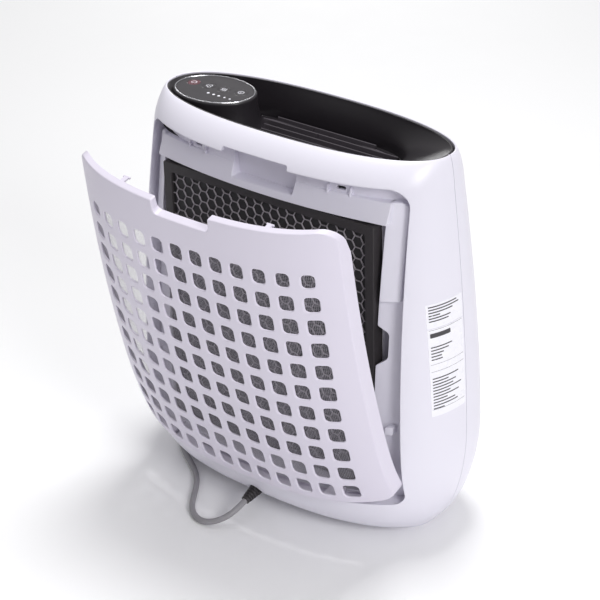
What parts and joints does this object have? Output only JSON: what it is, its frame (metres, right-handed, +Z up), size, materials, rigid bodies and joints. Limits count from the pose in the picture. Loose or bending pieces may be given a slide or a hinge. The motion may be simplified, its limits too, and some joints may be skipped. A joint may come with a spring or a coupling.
{
  "type": "air purifier",
  "caption": "Upright pebble-shaped air purifier with a perforated rear intake panel that tips open, stacked filters, a centrifugal fan and a top outlet tray with a control dial.",
  "frame": {"origin": "centre of the flat underside, on the surface that the purifier stands on", "axes": "+Z up; -Y towards the front; +Y towards the rear intake panel; +X towards the end that carries the control dial"},
  "size_m": [0.4108, 0.3769, 0.431],
  "materials": {
    "case_white": "satin moulded ABS",
    "tray_dark": "satin",
    "face_black": "smooth film",
    "power_red": "printed film",
    "ring_silver": "polished",
    "indicator_white": "diffusing",
    "filter_black": "fine grain",
    "carbon_core": "coated paper honeycomb",
    "filter_media": "pleated fibre",
    "prefilter_net": "woven net",
    "impeller_grey": "moulded",
    "steel": "plated",
    "brass": "bright",
    "board_green": "solder mask",
    "foot_rubber": "matt",
    "relief_rubber": "matt",
    "cable_grey": "smooth sheath",
    "label_film": "polyester film"
  },
  "bodies": {
    "case": {"base_plate": "case_white", "case_screw_1": "steel", "case_screw_2": "steel", "case_screw_3": "steel", "case_screw_4": "steel", "control_board": "board_green", "control_face": "face_black", "control_ring": "ring_silver", "cord_coil": "cable_grey", "cord_tie": "face_black", "fan_guard": "case_white", "fan_motor": "steel", "fan_scroll": "case_white", "filter_recess": "case_white", "foot_1": "foot_rubber", "foot_2": "foot_rubber", "foot_3": "foot_rubber", "foot_4": "foot_rubber", "front_cover": "case_white", "hepa_frame": "case_white", "hepa_pleats": "filter_media", "indicator_1": "indicator_white", "indicator_2": "indicator_white", "indicator_3": "indicator_white", "indicator_4": "indicator_white", "indicator_5": "indicator_white", "ioniser": "face_black", "mains_capacitor": "steel", "motor_bracket": "steel", "outlet_grille": "tray_dark", "outlet_tray": "tray_dark", "plug_body": "relief_rubber", "plug_pin_1": "brass", "plug_pin_2": "brass", "power_board": "board_green", "power_cord": "cable_grey", "power_cord_tail": "cable_grey", "rating_label": "label_film", "rear_housing": "case_white", "service_label": "label_film", "strain_relief": "relief_rubber", "transformer": "face_black"},
    "panel": {"rear_panel": "case_white", "prefilter_mesh": "prefilter_net"},
    "carbon_filter": {"carbon_filter_frame": "filter_black", "carbon_honeycomb": "carbon_core"},
    "fan": {"fan_impeller": "impeller_grey", "motor_shaft": "steel", "impeller_nut": "brass"},
    "power_key_cap": {"power_key": "power_red"},
    "fan_speed_key_cap": {"fan_speed_key": "tray_dark"},
    "ion_key_cap": {"ion_key": "tray_dark"},
    "timer_key_cap": {"timer_key": "tray_dark"}
  },
  "joints": [
    {"name": "rear_panel_tilt", "type": "hinge", "parent": "case", "child": "panel", "pos_m": [0, 0.12, 0.023], "axis": [-1, 0, 0], "range_deg": [-16.6, 0]},
    {"name": "carbon_filter_tip", "type": "hinge", "parent": "case", "child": "carbon_filter", "pos_m": [0, 0.07, 0.062], "axis": [-1, 0, 0], "range_deg": [0, 14]},
    {"name": "fan_spin", "type": "hinge", "parent": "case", "child": "fan", "pos_m": [0, -0.02, 0.205], "axis": [0, 1, 0], "continuous": true},
    {"name": "power_key_press", "type": "slide", "parent": "case", "child": "power_key_cap", "axis": [0, 0, -1], "range_m": [0, 0.0004], "stiffness_N_per_m": 400, "springref_m": -0.0002},
    {"name": "fan_speed_key_press", "type": "slide", "parent": "case", "child": "fan_speed_key_cap", "axis": [0, 0, -1], "range_m": [0, 0.0004], "stiffness_N_per_m": 400, "springref_m": -0.0002},
    {"name": "ion_key_press", "type": "slide", "parent": "case", "child": "ion_key_cap", "axis": [0, 0, -1], "range_m": [0, 0.0004], "stiffness_N_per_m": 400, "springref_m": -0.0002},
    {"name": "timer_key_press", "type": "slide", "parent": "case", "child": "timer_key_cap", "axis": [0, 0, -1], "range_m": [0, 0.0004], "stiffness_N_per_m": 400, "springref_m": -0.0002}
  ]
}
